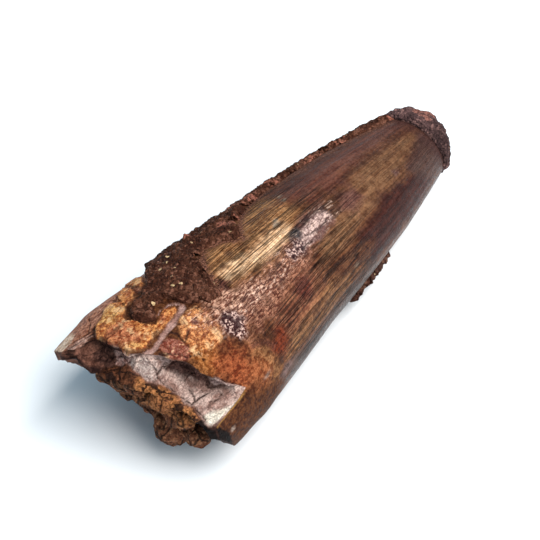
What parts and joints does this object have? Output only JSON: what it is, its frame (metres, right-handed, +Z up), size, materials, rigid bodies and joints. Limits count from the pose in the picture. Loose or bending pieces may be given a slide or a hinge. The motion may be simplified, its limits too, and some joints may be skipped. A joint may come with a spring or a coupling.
{
  "type": "fossil spinosaurus tooth",
  "caption": "Fossil spinosaurus tooth with a broken root and tip, lying on its side, with rusty desert sandstone still sticking to it.",
  "frame": {"origin": "on the surface that the tooth rests on, under the middle of its bounding box", "axes": "+X along the tooth from the broken root to the broken tip, +Z up as it rests, +Y towards the side with the sandstone crust"},
  "size_m": [0.0862, 0.0307, 0.0243],
  "materials": {
    "tooth": "satin",
    "root_sandstone": "matte",
    "crust_sandstone": "matte",
    "tip_sandstone": "matte"
  },
  "bodies": {
    "root": {"tooth": "tooth", "root_sandstone": "root_sandstone", "flank_sandstone": "crust_sandstone", "underside_sandstone": "crust_sandstone", "tip_sandstone": "tip_sandstone"}
  },
  "joints": []
}
